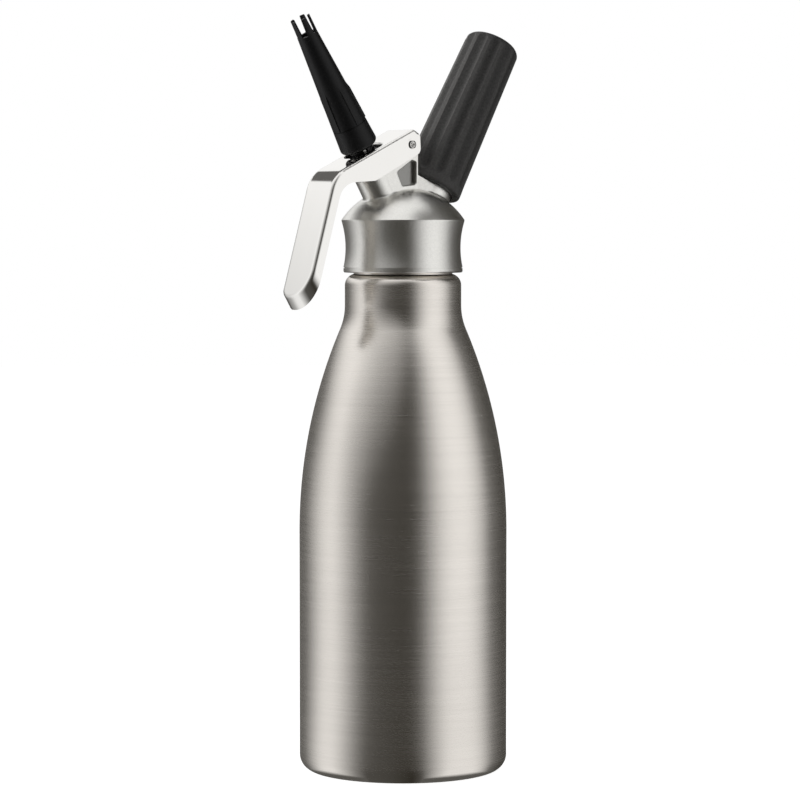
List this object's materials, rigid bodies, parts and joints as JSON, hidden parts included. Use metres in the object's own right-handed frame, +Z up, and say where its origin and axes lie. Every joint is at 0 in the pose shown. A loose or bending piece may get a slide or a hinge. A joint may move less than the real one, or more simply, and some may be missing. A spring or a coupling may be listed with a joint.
{
  "type": "cream whipper",
  "caption": "Hand-held cream whipper: steel bottle with a screw-on cast head, a squeeze lever that opens a sprung valve, a toothed decorating nozzle and a screw-on holder for a gas charger.",
  "frame": {"origin": "centre of the bottle's flat base", "axes": "+Z up along the bottle's axis, the nozzle and the lever towards -X, the charger holder towards +X, +Y along the lever's pin"},
  "size_m": [0.1171, 0.09, 0.3262],
  "materials": {
    "bottle_steel": "brushed round",
    "head_aluminium": "bead-blasted satin",
    "lever_chrome": "polished",
    "bright_steel": "machined",
    "black_plastic": "satin",
    "holder_plastic": "satin",
    "bush_plastic": "plain",
    "seal_rubber": "plain",
    "charger_steel": "zinc plated"
  },
  "bodies": {
    "bottle_body": {"bottle": "bottle_steel"},
    "gasket_body": {"head_gasket": "seal_rubber"},
    "head_body": {"head": "head_aluminium", "stem_o_ring": "seal_rubber", "stem_bush": "bush_plastic", "valve_spring": "bright_steel", "lever_pin": "bright_steel", "piercing_pin": "bright_steel", "charger_seal": "seal_rubber", "inlet_seal": "seal_rubber", "inlet_nut": "bright_steel", "non_return_sleeve": "seal_rubber"},
    "lever_body": {"lever": "lever_chrome"},
    "valve_body": {"valve_stem": "bright_steel", "valve_seal": "seal_rubber", "valve_washer": "bright_steel", "valve_nut": "bright_steel", "lever_pad": "black_plastic"},
    "insert_body": {"nozzle_insert": "bright_steel"},
    "nozzle_body": {"nozzle": "black_plastic"},
    "charger_body": {"gas_charger": "charger_steel"},
    "holder_body": {"charger_holder": "holder_plastic"}
  },
  "joints": [
    {"name": "gasket_lift", "type": "slide", "parent": "bottle_body", "child": "gasket_body", "axis": [0, 0, 1], "range_m": [0, 0.01]},
    {"name": "head_turn", "type": "hinge", "parent": "gasket_body", "child": "head_body", "pos_m": [0, 0, 0.2335], "axis": [0, 0, 1], "range_deg": [0, 901]},
    {"name": "lever_pivot", "type": "hinge", "parent": "head_body", "child": "lever_body", "pos_m": [-0.0023, 0, 0.2715], "axis": [0, -1, 0], "range_deg": [0, 12], "stiffness_Nm_per_rad": 0.9, "springref_deg": -8.59},
    {"name": "valve_slide", "type": "slide", "parent": "head_body", "child": "valve_body", "axis": [0.5, 0, -0.866], "range_m": [0, 0.004], "deforming": ["valve_spring"]},
    {"name": "nozzle_slide", "type": "slide", "parent": "valve_body", "child": "insert_body", "axis": [-0.5, 0, 0.866], "range_m": [0, 0.006]},
    {"name": "nozzle_turn", "type": "hinge", "parent": "insert_body", "child": "nozzle_body", "pos_m": [-0.0237, 0, 0.2713], "axis": [-0.5, 0, 0.866], "range_deg": [0, 1441]},
    {"name": "charger_slide", "type": "slide", "parent": "head_body", "child": "charger_body", "axis": [0.4848, 0, 0.8746], "range_m": [0, 0.008]},
    {"name": "holder_turn", "type": "hinge", "parent": "charger_body", "child": "holder_body", "pos_m": [0.01697, 0, 0.25791], "axis": [0.4848, 0, 0.8746], "range_deg": [0, 1441]}
  ],
  "couplings": [
    {"joint": "head_turn", "follows": "gasket_lift", "rad_per_m": 1570.8},
    {"joint": "valve_slide", "follows": "lever_pivot", "m_per_rad": 0.0186},
    {"joint": "nozzle_turn", "follows": "nozzle_slide", "rad_per_m": 4188.8},
    {"joint": "holder_turn", "follows": "charger_slide", "rad_per_m": 3141.6}
  ]
}
